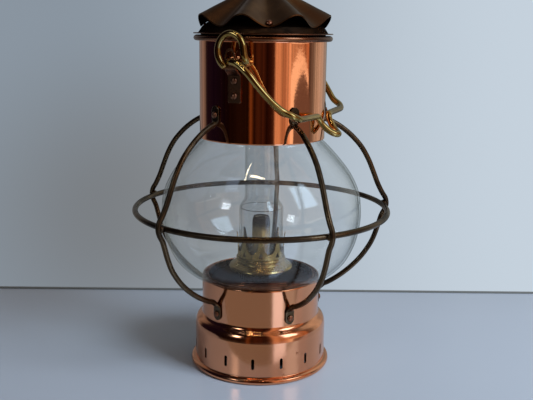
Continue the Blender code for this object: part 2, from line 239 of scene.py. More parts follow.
def spun(name, line, place, steps, closed=False):
    """A turned piece from a line of (radius, height) points. Each is taken round in steps, and
    place(step, radius, height) says where it goes. A point on the axis stays one point."""
    verts, faces, rings = [], [], []
    for r, z in line:
        count = 1 if r < TINY else steps
        rings.append((len(verts), count))
        verts += [place(k, r, z) for k in range(count)]
    after = rings[1:] + (rings[:1] if closed else [])
    for (start, count), (above, more) in zip(rings, after):
        if count == 1 and more == 1:
            continue
        for k in range(steps):
            n = (k + 1) % steps
            if count == 1:
                faces.append((start, above + k, above + n))
            elif more == 1:
                faces.append((start + k, start + n, above))
            else:
                faces.append((start + k, start + n, above + n, above + k))
    return piece(name, verts, faces)


def lathe(name, loop, steps=SIDES, shape=None):
    """The closed (radius, height) loop taken round the lantern's axis. shape(angle, r, z) may move
    a point."""

    def place(k, r, z):
        angle = 360 * k / steps
        point = shape(angle, r, z) if shape else (r, z)
        return polar(angle, *point)

    return spun(name, loop, place, steps, closed=True)


def frames(path, closed=False, up=None):
    """(point, side, normal) along the path, turning as little as it can, or with side held to up's cross."""
    n = len(path)
    out = []
    normal = None
    for i in range(n):
        if closed:
            way = (path[(i + 1) % n] - path[i - 1]).normalized()
        else:
            way = (path[min(i + 1, n - 1)] - path[max(i - 1, 0)]).normalized()
        if up is not None:
            side = up.normalized()
            normal = way.cross(side).normalized()
        else:
            if normal is None:
                first = Vector((0, 0, 1)) if abs(way.z) < 0.9 else Vector((1, 0, 0))
                normal = (first - way * first.dot(way)).normalized()
            else:
                normal = (normal - way * normal.dot(way)).normalized()
            side = normal.cross(way).normalized()
        out.append((path[i], side, normal))
    return out


def swept(name, path, section, sides=22, closed=False, up=None):
    """A bar along the path. section(i) gives (half width, half height, squareness) at point i."""
    verts, faces = [], []
    rows = frames(path, closed, up)
    for i, (point, side, normal) in enumerate(rows):
        wide, high, square = section(i)
        for k in range(sides):
            a = TAU * k / sides
            c, s = math.cos(a), math.sin(a)
            x = math.copysign(abs(c) ** square, c) * wide
            y = math.copysign(abs(s) ** square, s) * high
            verts.append(point + side * x + normal * y)
    count = len(rows)
    for i in range(count if closed else count - 1):
        j = (i + 1) % count
        for k in range(sides):
            n = (k + 1) % sides
            faces.append((i * sides + k, i * sides + n, j * sides + n, j * sides + k))
    if not closed:
        faces.append(tuple(range(sides)))
        faces.append(tuple((count - 1) * sides + k for k in range(sides)))
    return piece(name, verts, faces)


def run_lengths(path):
    """How far along the path each point is."""
    out = [0.0]
    for a, b in zip(path, path[1:]):
        out.append(out[-1] + (b - a).length)
    return out


def round_bar(name, path, radius, sides):
    """A round bar along an open path, with domed ends."""
    ends = [path[0], path[-1]]
    ways = [(path[0] - path[1]).normalized(), (path[-1] - path[-2]).normalized()]
    grown = list(path)
    sizes = [radius] * len(path)
    for t in (0.35, 0.65, 0.86, 0.97):
        size = radius * math.sqrt(1 - t * t)
        grown.insert(0, ends[0] + ways[0] * radius * 0.6 * t)
        grown.append(ends[1] + ways[1] * radius * 0.6 * t)
        sizes.insert(0, size)
        sizes.append(size)
    return swept(name, grown, lambda i: (sizes[i], sizes[i], 1.0), sides)


def prism(outline, angle, inner, outer):
    """A cutter: the (side, height) outline pushed outwards from radius inner to outer at this angle."""
    n = len(outline)
    verts = [
        outward(angle) * r + along(angle) * s + Vector((0, 0, z))
        for r in (inner, outer)
        for s, z in outline
    ]
    faces = [tuple(range(n)), tuple(range(n, 2 * n))]
    faces += [(k, (k + 1) % n, n + (k + 1) % n, n + k) for k in range(n)]
    return piece("cutter", verts, faces, smooth=False)


def oval(half_width, half_height, middle, count):
    """An upright oval outline."""
    turns = [TAU * k / count for k in range(count)]
    return [(half_width * math.cos(a), middle + half_height * math.sin(a)) for a in turns]


def stadium(half_width, half_height, middle, count=6):
    """An upright slot with round ends."""
    straight = half_height - half_width
    out = []
    for sign in (1, -1):
        for k in range(count + 1):
            a = math.pi * k / count
            rise = straight + half_width * math.sin(a)
            out.append((sign * half_width * math.cos(a), middle + sign * rise))
    return out


# ---------------------------------------------------------------- node helpers


def feed(tree, socket, value):
    """Links another node's output to the socket, or sets the socket's own number or colour."""
    if isinstance(value, bpy.types.NodeSocket):
        tree.links.new(value, socket)
    elif socket.type == "RGBA" and len(value) == 3:
        socket.default_value = (*value, 1)
    else:
        socket.default_value = value


def node(tree, kind, settings=None, **inputs):
    """A shader node with its settings and its inputs by name, or by number as i0, i1 and so on."""
    made = tree.nodes.new(kind)
    for key, value in (settings or {}).items():
        setattr(made, key, value)
    for key, value in inputs.items():
        socket = made.inputs[int(key[1:])] if key[0] == "i" and key[1:].isdigit() else made.inputs[key]
        feed(tree, socket, value)
    return made


def maths(tree, operation, a, b=0.0):
    return node(tree, "ShaderNodeMath", {"operation": operation}, i0=a, i1=b).outputs[0]


def spread(tree, value, low, high, to_low=0.0, to_high=1.0, soft=True):
    """value taken from low..high to to_low..to_high, and held at the ends."""
    settings = {"interpolation_type": "SMOOTHSTEP" if soft else "LINEAR", "clamp": True}
    made = node(tree, "ShaderNodeMapRange", settings, i0=value, i1=low, i2=high, i3=to_low, i4=to_high)
    return made.outputs[0]


def mixed(tree, share, a, b, blend="MIX"):
    """Colour a with its share of colour b."""
    made = node(tree, "ShaderNodeMix", {"data_type": "RGBA", "blend_type": blend}, i0=share, i6=a, i7=b)
    return made.outputs[2]


def mixed_value(tree, share, a, b):
    """Number a with its share of number b."""
    return node(tree, "ShaderNodeMix", {"data_type": "FLOAT"}, i0=share, i2=a, i3=b).outputs[0]


def clouds(tree, where, scale, detail, rough=0.55):
    """Soft noise about 0.5."""
    made = node(tree, "ShaderNodeTexNoise", {}, Vector=where, Scale=scale, Detail=detail, Roughness=rough)
    return made.outputs[0]


def fresh(name):
    """A new material with its node tree emptied, and its output node."""
    made = bpy.data.materials.new(name)
    made.use_nodes = True
    made.node_tree.nodes.clear()
    return made, made.node_tree, made.node_tree.nodes.new("ShaderNodeOutputMaterial")


def stretched(tree, where, x, y, z):
    """The coordinates scaled along each axis."""
    return node(tree, "ShaderNodeMapping", {}, Vector=where, Scale=(x, y, z)).outputs[0]


# ---------------------------------------------------------------- metals


SPOT_SHADE = (0.05, 0.03, 0.02)
GRAIN_DEPTH = 0.000012
LINE_STRETCH = (3, 3, 2600)


def metal(name, clean, worn, rough, worn_rough, cover, scale, speckle, turned, wave, soot=None, edge=1.0):
    """A worked metal. clean and worn are its two shades, and cover is the noise range over which the tarnish
    comes in, in patches that scale makes smaller. speckle is how dark its small spots are, turned the depth
    of fine lathe or drawing lines, and wave the depth of slow dents. soot (height, height, colour, roughness)
    darkens it upwards. edge is how strong its reflection stays at a grazing angle."""
    made, tree, out = fresh(name)
    where = tree.nodes.new("ShaderNodeTexCoord").outputs["Object"]
    patina = spread(tree, clouds(tree, where, scale, 7.0, 0.6), *cover)
    colour = mixed(tree, patina, clean, worn)
    spots = spread(tree, clouds(tree, where, scale * 9, 3.0, 0.5), 0.66, 0.74)
    far_spots = spread(tree, clouds(tree, where, scale * 0.7, 2.0, 0.5), 0.5, 0.68)
    spots = maths(tree, "MULTIPLY", spots, far_spots)
    colour = mixed(tree, maths(tree, "MULTIPLY", spots, speckle), colour, SPOT_SHADE)
    roughness = spread(tree, patina, 0, 1, rough, worn_rough, soft=False)
    fine = clouds(tree, where, scale * 30, 2.0, 0.6)
    roughness = maths(tree, "ADD", roughness, spread(tree, fine, 0.3, 0.7, -0.015, 0.02, soft=False))
    roughness = maths(tree, "ADD", roughness, maths(tree, "MULTIPLY", spots, 0.25))
    if soot:
        low, high, shade, dull = soot
        height = node(tree, "ShaderNodeSeparateXYZ", {}, Vector=where).outputs[2]
        uneven = maths(tree, "MULTIPLY", clouds(tree, where, 120.0, 3.0), (high - low) * 0.7)
        burnt = spread(tree, maths(tree, "ADD", height, uneven), low, high + (high - low) * 0.4)
        colour = mixed(tree, burnt, colour, shade)
        roughness = mixed_value(tree, burnt, roughness, dull)
    shader = node(tree, "ShaderNodeBsdfPrincipled", {}, Metallic=1.0)
    shader.inputs["Specular Tint"].default_value = (edge, edge, edge, 1)
    tree.links.new(colour, shader.inputs["Base Color"])
    tree.links.new(roughness, shader.inputs["Roughness"])
    height = maths(tree, "MULTIPLY", clouds(tree, where, 14.0, 2.0), wave)
    height = maths(tree, "ADD", height, maths(tree, "MULTIPLY", fine, GRAIN_DEPTH))
    if turned:
        lines = clouds(tree, stretched(tree, where, *LINE_STRETCH), 1.0, 2.0)
        height = maths(tree, "ADD", height, maths(tree, "MULTIPLY", lines, turned))
    bump = node(tree, "ShaderNodeBump", {}, Strength=1.0, Distance=1.0, Height=height)
    tree.links.new(bump.outputs[0], shader.inputs["Normal"])
    tree.links.new(shader.outputs[0], out.inputs[0])
    return made


def glass(name, clear, edge, haze, front=0.04):
    """Thin clear glass: what is behind it shows through, darker where the wall is seen edge on, with the
    mirror reflection of a glass surface and a little dust."""
    made, tree, out = fresh(name)
    where = tree.nodes.new("ShaderNodeTexCoord").outputs["Object"]
    facing = node(tree, "ShaderNodeLayerWeight", {}, Blend=0.5).outputs["Facing"]
    steep = maths(tree, "POWER", facing, 5.0)
    shine = maths(tree, "ADD", maths(tree, "MULTIPLY", steep, 0.5), front)
    through = node(tree, "ShaderNodeBsdfTransparent", {})
    tree.links.new(mixed(tree, maths(tree, "POWER", facing, 6.0), clear, edge), through.inputs[0])
    mirror = node(tree, "ShaderNodeBsdfGlossy", {}, Color=(1, 1, 1, 1), Roughness=0.02)
    waves = maths(tree, "MULTIPLY", clouds(tree, where, 9.0, 2.0), 0.0009)
    bump = node(tree, "ShaderNodeBump", {}, Strength=1.0, Distance=1.0, Height=waves)
    tree.links.new(bump.outputs[0], mirror.inputs["Normal"])
    surface = node(tree, "ShaderNodeMixShader", {}, i0=shine, i1=through.outputs[0], i2=mirror.outputs[0])
    dust = node(tree, "ShaderNodeBsdfDiffuse", {}, Color=(0.8, 0.82, 0.85, 1))
    share = spread(tree, clouds(tree, where, 40.0, 6.0, 0.7), 0.35, 0.75, haze * 0.3, haze)
    both = node(tree, "ShaderNodeMixShader", {}, i0=share, i1=surface.outputs[0], i2=dust.outputs[0])
    tree.links.new(both.outputs[0], out.inputs[0])
    return made


CHAR = (0.149, 0.1515)


def cotton(name):
    """A woven wick, charred at its top edge."""
    made, tree, out = fresh(name)
    where = tree.nodes.new("ShaderNodeTexCoord").outputs["Object"]
    height = node(tree, "ShaderNodeSeparateXYZ", {}, Vector=where).outputs[2]
    rows = node(
        tree, "ShaderNodeTexWave", {"bands_direction": "Z"}, Vector=where, Scale=260.0, Distortion=1.5
    ).outputs[1]
    char = spread(tree, height, *CHAR)
    colour = mixed(tree, rows, (0.62, 0.57, 0.46), (0.78, 0.74, 0.64))
    colour = mixed(tree, char, colour, (0.02, 0.017, 0.015))
    shader = node(tree, "ShaderNodeBsdfPrincipled", {}, Roughness=0.9)
    tree.links.new(colour, shader.inputs["Base Color"])
    bump = node(tree, "ShaderNodeBump", {}, Strength=1.0, Distance=0.0002, Height=rows)
    tree.links.new(bump.outputs[0], shader.inputs["Normal"])
    tree.links.new(shader.outputs[0], out.inputs[0])
    return made


# name: clean and worn shade, their roughness, tarnish range and scale, spots, turned lines, dents
METALS = {
    "copper_satin": ((0.82, 0.36, 0.19), (0.70, 0.29, 0.15), 0.13, 0.2, (0.45, 0.8), 9.0, 0.35, 3e-7, 5e-5),
    "copper_polished": ((0.90, 0.40, 0.22), (0.80, 0.33, 0.17), 0.05, 0.1, (0.45, 0.8), 9.0, 0.3, 4e-7, 6e-5),
    "bead_copper": ((0.24, 0.10, 0.05), (0.12, 0.055, 0.035), 0.2, 0.32, (0.4, 0.65), 18.0, 0.4, 0, 0),
    "roof_bronze": ((0.15, 0.074, 0.03), (0.085, 0.042, 0.021), 0.26, 0.38, (0.4, 0.65), 16.0, 0.4, 0, 1e-4),
    "guard_bronze": ((0.115, 0.078, 0.045), (0.05, 0.036, 0.024), 0.25, 0.4, (0.4, 0.62), 30.0, 0.3, 0, 1e-4),
    "copper_rivet": ((0.28, 0.12, 0.07), (0.13, 0.065, 0.04), 0.28, 0.45, (0.4, 0.65), 60.0, 0.4, 0, 2e-4),
    "bail_brass": ((0.44, 0.31, 0.105), (0.22, 0.15, 0.05), 0.08, 0.17, (0.42, 0.7), 34.0, 0.4, 0, 8e-5),
    "burner_brass": ((0.54, 0.41, 0.17), (0.27, 0.195, 0.08), 0.22, 0.38, (0.4, 0.7), 40.0, 0.4, 4e-7, 5e-5),
    "burnt_brass": ((0.96, 0.74, 0.33), (0.66, 0.47, 0.19), 0.34, 0.45, (0.4, 0.7), 60.0, 0.4, 4e-7, 5e-5),
    "dark_deck": ((0.06, 0.035, 0.022), (0.022, 0.014, 0.010), 0.55, 0.7, (0.4, 0.62), 26.0, 0.5, 0, 1e-4),
    # a darker copy of the copper for the lugs and the globe seat: painted shade
    "copper_painted_shade": ((0.32, 0.14, 0.075), (0.12, 0.06, 0.035), 0.2, 0.34, (0.4, 0.62), 40.0, 0.4, 0, 1e-4),
    # a darker bronze for the parts under the hood: painted shade
    "bronze_painted_shade": ((0.045, 0.026, 0.016), (0.018, 0.012, 0.009), 0.4, 0.6, (0.4, 0.6), 24.0, 0.4, 0, 0),
}
SOOT = {"burnt_brass": (0.137, 0.146, (0.03, 0.018, 0.014), 0.6)}
EDGES = {"burnt_brass": 0.6, "dark_deck": 0.03, "bronze_painted_shade": 0.3}


def make_materials():
    made = {}
    for name, look in METALS.items():
        made[name] = metal(name, *look, soot=SOOT.get(name), edge=EDGES.get(name, 1.0))
    made["clear_glass"] = glass("clear_glass", (0.985, 0.99, 0.99), (0.52, 0.58, 0.58), 0.014)
    made["chimney_glass"] = glass("chimney_glass", (0.975, 0.98, 0.98), (0.45, 0.5, 0.5), 0.015, 0.06)
    made["cotton_wick"] = cotton("cotton_wick")
    return made


MATERIAL = {}


def finish(obj, node_name, body, slot, look=None):
    """Gives a piece its material, the look or else the slot's, puts it in its body, and hides the CAD node
    that it stands for.
    """
    obj.data.materials.clear()
    obj.data.materials.append(MATERIAL[look or slot])
    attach(obj, body)
    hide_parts(node_name)
    return obj


def dress(node_name, look):
    """A better material on a CAD node that stays."""
    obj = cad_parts[node_name]
    for place in obj.material_slots:
        place.material = MATERIAL[look]


# ---------------------------------------------------------------- base and globe seat


def build_base():
    outer = [(66.6, 0), (69.6, 0), (71.1, 1.2), (71.5, 2.8), (70.9, 4.6), (69.2, 5.8), (67.2, 6.2)]
    outer += [(67, z) for z in (7.4, 10, 12.5, 16, 20, 23.5, 26, 30, 34, 38)]
    shoulder = [(67, 41), (66.4, 44.9), (64.9, 48.2), (62.8, 50.3), (61.2, 51.7), (60.2, 53.2), (59.8, 55)]
    outer += [tuple(p) for p in smooth_run(shoulder, 4)]
    outer += [(59.8, z) for z in (58, 66, 74, 82)]
    outer += [(59.8, 91.2), (59.5, 92)]
    inner = [(58.8, 92), (58.6, 91.4), (58.6, 55), (59, 52.8), (60.1, 51), (61.9, 49.4), (64, 47.4)]
    inner += [(65.3, 44.4), (65.8, 41), (65.8, 1.2)]
    shell = lathe("base_shell_look", eased(outer + inner, 0.45))
    angles = [360 / SLOT_COUNT * k + SLOT_FIRST for k in range(SLOT_COUNT)]
    cut(shell, [prism(stadium(1.5, 5.5, SLOT_HEIGHT), angle, 60, 75) for angle in angles])
    finish(shell, "base_shell", "lantern", "copper_satin")

    seat = [(53.5, 86.4), (58.2, 86.4), (58.2, 88.9), (54.6, 88.9), (54.6, 93), (53.5, 93)]
    ring = lathe("globe_seat_look", eased(seat, 0.3))
    finish(ring, "globe_seat_ring", "lantern", "copper_satin", "copper_painted_shade")
    for n in (1, 2, 3):
        dress("font_catch_%d" % n, "copper_satin")
        dress("font_tab_%d" % n, "copper_satin")


# ---------------------------------------------------------------- font and burner


def build_font():
    outer = [(0, 12), (48, 12), (51, 14.5), (51, 84.6), (49.8, 86.8), (24, 87.8), (19.6, 88)]
    inner = [(18.4, 86.9), (23.9, 86.6), (49, 85.6), (49.8, 84.2), (49.8, 15.1), (47.5, 13.2), (0, 13.2)]
    vessel = lathe("font_look", eased(outer + inner, 0.8))
    finish(vessel, "font", "oil_font", "copper_satin", "dark_deck")
    rim = [(17.5, 88.4), (22.4, 88.4), (22.4, 94), (21.6, 94.6), (17.5, 94.6)]

    def grip(angle, r, z):
        """Fine upright grooves round the collar's outside."""
        return (r - (0.35 if r > 21 and int(angle / 5) % 2 else 0.0), z)

    collar = lathe("font_collar_look", eased(rim, 0.4), SIDES, grip)
    finish(collar, "font_collar", "oil_font", "burner_brass", "dark_deck")


def on_spindle(back):
    """A point of the winder's spindle."""
    return Vector((SPINDLE_OUT, back, SPINDLE_HEIGHT))


def build_burner():
    outer = [(17.1, 84.5), (17.1, 94.9), (24.5, 95.4), (31.5, 98.4), (32.3, 100.2), (31.2, 102)]
    steps = [(29.6, 102.7), (29.2, 103.3), (27.6, 103.9), (27.2, 104.5), (25.8, 105.0), (25.3, 105.8)]
    neck = [(25.3, 106.6), (24.5, 107.0), (24.5, 108.2), (25.2, 108.7), (25.2, 109.6), (24.5, 110.1)]
    outer += steps + neck + [(24.5, 111.2)]
    inner = [(23.7, 111.2), (23.7, 105.6), (25.2, 103.7), (30.4, 101.1), (31.1, 100.2), (30.6, 99.3)]
    inner += [(24.2, 96.5), (9.4, 96.1), (9.4, 94.9), (16, 94.4), (16, 84.5)]
    body = lathe("burner_body_look", eased(outer + inner, 0.3))
    bore = swept("cutter", [on_spindle(10), on_spindle(36)], lambda i: (1.9, 1.9, 1.0), 16)
    cut(body, [bore])
    finish(body, "burner_body", "oil_font", "burner_brass")


def build_gallery():
    """The thin cup that holds the lamp glass, cut into springs that stand outwards at their tips."""
    crown = [(12.5, 111.5), (23.7, 111.5), (23.7, 120), (23.7, 127), (24.2, 132), (24.9, 136)]
    crown += [(24.3, 136), (23.5, 132), (23.0, 127), (23.0, 120), (23.0, 112.4), (12.5, 112.4)]
    gallery = lathe("chimney_gallery_look", crown, 120)
    cutters = []
    for k in range(SPRING_COUNT):
        spring = 360 / SPRING_COUNT * k
        gap = spring + 180 / SPRING_COUNT
        window = [(-1.5, 117.2), (1.5, 117.2), (4.2, 119.2), (5.9, 122.5), (7.0, 127), (8.8, 137)]
        window += [(-8.8, 137), (-7.0, 127), (-5.9, 122.5), (-4.2, 119.2)]
        cutters.append(prism(window, gap, 19, 30))
        cutters.append(prism([(-2.6, 113.4), (2.6, 113.4), (0, 119.5)], spring, 19, 30))
        cutters.append(prism(oval(1.0, 1.0, 115, 12), gap, 19, 30))
    cut(gallery, cutters)
    finish(gallery, "chimney_gallery", "oil_font", "burner_brass")


def build_tubes():
    """The wick between its outer tube, which is rounded in at the top, and the draught tube inside it."""
    tube = [(9, 86), (9, 144)]
    for share in (0.2, 0.4, 0.6, 0.8, 1.0):
        a = share * math.pi / 2
        tube.append((9 - 1.1 * (1 - math.cos(a)), 144 + 7 * math.sin(a)))
    tube += [(8.15 - 0.6, 151), (8.0, 150.0), (8.15, 146), (8.15, 86)]
    wick_tube = lathe("wick_tube_look", tube, 72)
    opening = [(-2, 101.3), (2, 101.3), (2, 111.7), (-2, 111.7)]
    cut(wick_tube, [prism(opening, 90, 6, 12)])
    finish(wick_tube, "wick_tube", "oil_font", "burner_brass", "burnt_brass")
    draught = lathe("draught_tube_look", eased([(6.4, 97), (6.4, 150.4), (5.4, 150.4), (5.4, 97)], 0.2), 48)
    finish(draught, "draught_tube", "oil_font", "burner_brass", "burnt_brass")
    wick = lathe("wick_look", eased([(7.8, 60), (7.8, 152), (7.5, 152.4), (6.8, 152.4), (6.8, 60)], 0.25), 60)
    finish(wick, "wick", "wick", "cotton_wick")


def build_winder():
    """The winder's wheel, spindle and milled knob."""
    dress("wick_wheel", "burner_brass")
    spindle = round_bar("wick_shaft_look", [on_spindle(back) for back in (-3.9, 0, 20, 40.8)], 1.2, 20)
    finish(spindle, "wick_shaft", "wick_winder", "burner_brass")
    face = [(0, 42), (2.2, 42), (2.8, 41.3), (6.2, 41.3), (7.2, 42), (8.4, 42), (9, 41.4), (9, 37.6)]
    face += [(8.4, 37), (3, 37), (1.6, 36.6), (1.2, 36.6), (0, 36.6)]
    steps = 120

    def milled(k, r, back):
        a = TAU * k / steps
        reach = r - (0.45 if r > 8.9 and k % 4 < 2 else 0)
        return on_spindle(back) + Vector((reach * math.cos(a), 0, reach * math.sin(a)))

    knob = spun("wick_knob_look", face, milled, steps)
    finish(knob, "wick_knob", "wick_winder", "burner_brass")


# ---------------------------------------------------------------- glass


GLOBE_WALL = 2.0
CHIMNEY_WALL = 1.3


def build_glass():
    curve = [(57.6, 89.4), (57.8, 91.6), (61.2, 93.9), (67.2, 96), (75.2, 99.8), (87, 111.8), (95.4, 129)]
    curve += [(99.2, 146), (100, 160), (97.6, 179), (89.2, 197.2), (77.2, 212.8), (66, 225), (60.6, 230.2)]
    curve += [(59.4, 233.4), (59.4, 239.2)]
    globe = glass_shell("globe_look", smooth_run(curve, 5), GLOBE_WALL)
    finish(globe, "globe", "lantern", "clear_glass")
    line = [(22.2, 112.9), (22.2, 130), (22.2, 158.5), (21.7, 162.5), (19.6, 166.5), (17.6, 169.6)]
    line += [(16.8, 173.5), (16.8, 200), (16.8, 260), (16.8, 315)]
    chimney = glass_shell("chimney_look", smooth_run(line, 5), CHIMNEY_WALL, 96)
    finish(chimney, "chimney", "lamp_glass", "clear_glass", "chimney_glass")


def glass_shell(name, outer, wall, steps=SIDES):
    """A blown shell of even wall inside the outer line, with fire-rounded lips."""
    inner = []
    for i, p in enumerate(outer):
        way = (outer[min(i + 1, len(outer) - 1)] - outer[max(i - 1, 0)]).normalized()
        inner.append(p + Vector((-way.y, way.x)) * wall)
    top = lip(outer[-1], inner[-1], 1)
    foot = lip(inner[0], outer[0], -1)
    return lathe(name, outer + top + inner[::-1] + foot, steps)


def lip(a, b, sign):
    """Half a circle from a to b."""
    middle = (a + b) / 2
    half = (a - b).length / 2
    way = (a - b).normalized()
    up = Vector((0, sign))
    return [
        middle + way * half * math.cos(t) + up * half * math.sin(t)
        for t in (math.pi * k / 5 for k in range(1, 5))
    ]


# ---------------------------------------------------------------- guard cage


# distance from the axis and height along the middle of a guard wire, from its foot to its top
WIRE_PATH = [
    (60.9, 57.2), (60.9, 63.5), (60.9, 69.6), (62.4, 73), (66.8, 77), (72, 79), (81, 83.8), (90, 89.8),
    (98, 96.4), (106, 104.5), (112.5, 113), (117.6, 121.5), (121.6, 131.5), (124.8, 142), (127.2, 149.5),
    (130.6, 156), (131.9, 161.6), (130.6, 167.6), (126.6, 173.8), (121.5, 183.5), (116.5, 195.5),
    (110.5, 208.8), (102.5, 221.8), (91.5, 233.6), (80, 242.6), (70, 248.2), (65.2, 250), (62.7, 252.9),
    (62.7, 259), (62.7, 267.6),
]
PADDLE_WIDE = 4.8
PADDLE_THIN = 0.8
PADDLE_LONG = 12.0
NECK_LONG = 7.0


def build_guard():
    count = 220
    path = [polar(360 * k / count, RING_RADIUS, RING_HEIGHT) for k in range(count)]
    hoop = swept("ring", path, lambda i: (RING_BAR, RING_BAR, 1.0), 22, closed=True)
    ring = joined("guard_ring_look", [hoop] + [braze(angle) for angle in WIRE_ANGLES])
    finish(ring, "guard_ring", "lantern", "guard_bronze")
    for n, angle in enumerate(WIRE_ANGLES, 1):
        wire = guard_wire("guard_wire_look_%d" % n, angle)
        finish(wire, "guard_wire_%d" % n, "lantern", "guard_bronze")
        upper = rivet("upper_rivet_look_%d" % n, polar(angle, 62.7, 259), outward(angle), 1.1, 3.0)
        finish(upper, "upper_rivet_%d" % n, "lantern", "copper_rivet")
        lower = rivet("lower_rivet_look_%d" % n, polar(angle, 60.9, 63.5), outward(angle), 1.1, 3.1)
        finish(lower, "lower_rivet_%d" % n, "lantern", "copper_rivet")


def guard_wire(name, angle):
    """One bowed wire, flattened into a paddle at each end."""
    flat = smooth_run(WIRE_PATH, 7)
    path = [polar(angle, p.x, p.y) for p in flat]
    far = run_lengths(path)
    total = far[-1]
    dense = []
    for i in range(len(path) - 1):
        dense.append(path[i])
        if min(far[i], total - far[i]) < PADDLE_WIDE + 1:
            dense.append((path[i] + path[i + 1]) / 2)
    dense.append(path[-1])
    far = run_lengths(dense)
    total = far[-1]

    def section(i):
        s = min(far[i], total - far[i])
        if s < PADDLE_WIDE:
            t = max(0.08, s / PADDLE_WIDE)
            return PADDLE_WIDE * math.sqrt(max(0.0, 1 - (1 - t) ** 2)), PADDLE_THIN, 0.6
        if s < PADDLE_LONG:
            return PADDLE_WIDE, PADDLE_THIN, 0.6
        t = min(1.0, (s - PADDLE_LONG) / NECK_LONG)
        t = t * t * (3 - 2 * t)
        return (
            PADDLE_WIDE + (WIRE_BAR - PADDLE_WIDE) * t,
            PADDLE_THIN + (WIRE_BAR - PADDLE_THIN) * t,
            0.6 + 0.4 * t,
        )

    return swept(name, dense, section, 22, up=along(angle))


# half sizes round the lantern, outwards and upwards
BRAZE = (4.2, 3.9, 3.6)


def braze(angle):
    """The lump of brazing metal that holds a wire to the ring."""
    verts, faces = [], []
    rows, sides = 10, 20
    middle = polar(angle, (RING_RADIUS + WIRE_ON_RING) / 2, RING_HEIGHT)
    for i in range(rows + 1):
        lat = math.pi * i / rows
        for k in range(sides):
            lon = TAU * k / sides
            way = Vector((math.sin(lat) * math.cos(lon), math.sin(lat) * math.sin(lon), math.cos(lat)))
            lumpy = 1 + 0.16 * noise.noise(way * 1.7 + Vector((angle, 0, 0)))
            offset = along(angle) * way.x * BRAZE[0] + outward(angle) * way.y * BRAZE[1]
            offset += Vector((0, 0, way.z * BRAZE[2]))
            verts.append(middle + offset * lumpy)
    for i in range(rows):
        for k in range(sides):
            n = (k + 1) % sides
            faces.append((i * sides + k, i * sides + n, (i + 1) * sides + n, (i + 1) * sides + k))
    lump = piece("braze", verts, faces)
    bm = bmesh.new()
    bm.from_mesh(lump.data)
    bmesh.ops.remove_doubles(bm, verts=bm.verts, dist=TINY)
    bm.to_mesh(lump.data)
    bm.free()
    return lump


def rivet(name, centre, way, head, tail):
    """A hammered rivet along way: a low dome out from head, and a small closed head inwards from -tail."""
    line = [(0, -tail - 1.1), (2.2, -tail - 1.0), (2.5, -tail - 0.6), (2.5, -tail)]
    line += [(1.35, -tail), (1.35, head)]
    dome = [(3.1, head), (3.15, head + 0.35), (2.95, head + 0.8), (2.5, head + 1.25), (1.8, head + 1.65)]
    dome += [(0.9, head + 1.95), (0, head + 2.02)]
    steps = 28
    side = way.orthogonal().normalized()
    other = way.cross(side)

    def place(k, r, out):
        a = TAU * k / steps
        point = centre + (side * math.cos(a) + other * math.sin(a)) * r + way * out
        if out > head:
            point += way * 0.16 * noise.noise(point * 0.55)
        return point

    return spun(name, line + dome, place, steps)


# ---------------------------------------------------------------- upper cylinder and bail


BEAD_FOOT = 326.3


def build_cylinder():
    loop = [(60.5, 233.2)] + [(61.5, z) for z in (233.2, 250, 280, 305, 325.6)] + [(61.7, 326.4)]
    bead = [(62.7, 326.2), (64.4, 325.9), (66.1, 326.6), (67.0, 328.6), (66.1, 330.6), (64.4, 331.3)]
    loop += [tuple(p) for p in smooth_run(bead, 3)]
    loop += [(62.4, 330.9), (60.5, 330.8), (60.5, 300), (60.5, 260)]
    tube = lathe("upper_cylinder_look", eased(loop, 0.25, 2))
    finish(tube, "upper_cylinder", "lantern", "copper_polished")
    tube.data.materials.append(MATERIAL["bead_copper"])
    for face in tube.data.polygons:
        if face.center.z > BEAD_FOOT * MM:
            face.material_index = 1
    collar = [(56.5, 240.6), (59.9, 240.6), (59.9, 247), (58.9, 247), (58.9, 241.8), (56.5, 241.8)]
    ring = lathe("globe_collar_look", eased(collar, 0.25))
    finish(ring, "globe_collar", "lantern", "copper_satin")


# distance from the axis, height and half width of the strap, from its foot to its tip
LUG_PATH = [
    (STRAP_OUT, 271.2, 5.6), (STRAP_OUT, 272.7, 6.5), (STRAP_OUT, 278, 6.5), (STRAP_OUT, 294.8, 6.5),
    (63.6, 296.8, 6.3), (70.3, 301.4, 5.7), (71.5, 303.4, 5.6), (71.5, 309, 5.6), (71.5, 313.4, 5.6),
    (71.5, 316.4, 4.7), (71.5, 318.6, 3.5), (71.5, 320.2, 1.9),
]


def build_lugs():
    angles = (BAIL_ANGLE, BAIL_ANGLE + 180)
    rows = smooth_run(LUG_PATH, 5)
    for n, angle in enumerate(angles, 1):
        path = [polar(angle, p.x, p.y) for p in rows]
        strap = swept("bail_lug_look_%d" % n, path, lambda i: (rows[i].z, 1.0, 0.35), 28, up=along(angle))
        cut(strap, [prism(stadium(3.6, 6.0, EYE_HEIGHT, 12), angle, 66, 76)])
        finish(strap, "bail_lug_%d" % n, "lantern", "copper_polished", "copper_painted_shade")
    places = [(angle, height) for angle in angles for height in LUG_RIVET_HEIGHTS]
    for n, (angle, height) in enumerate(places, 1):
        pin = rivet("lug_rivet_look_%d" % n, polar(angle, STRAP_OUT, height), outward(angle), 1.3, 3.1)
        finish(pin, "lug_rivet_%d" % n, "lantern", "copper_rivet")


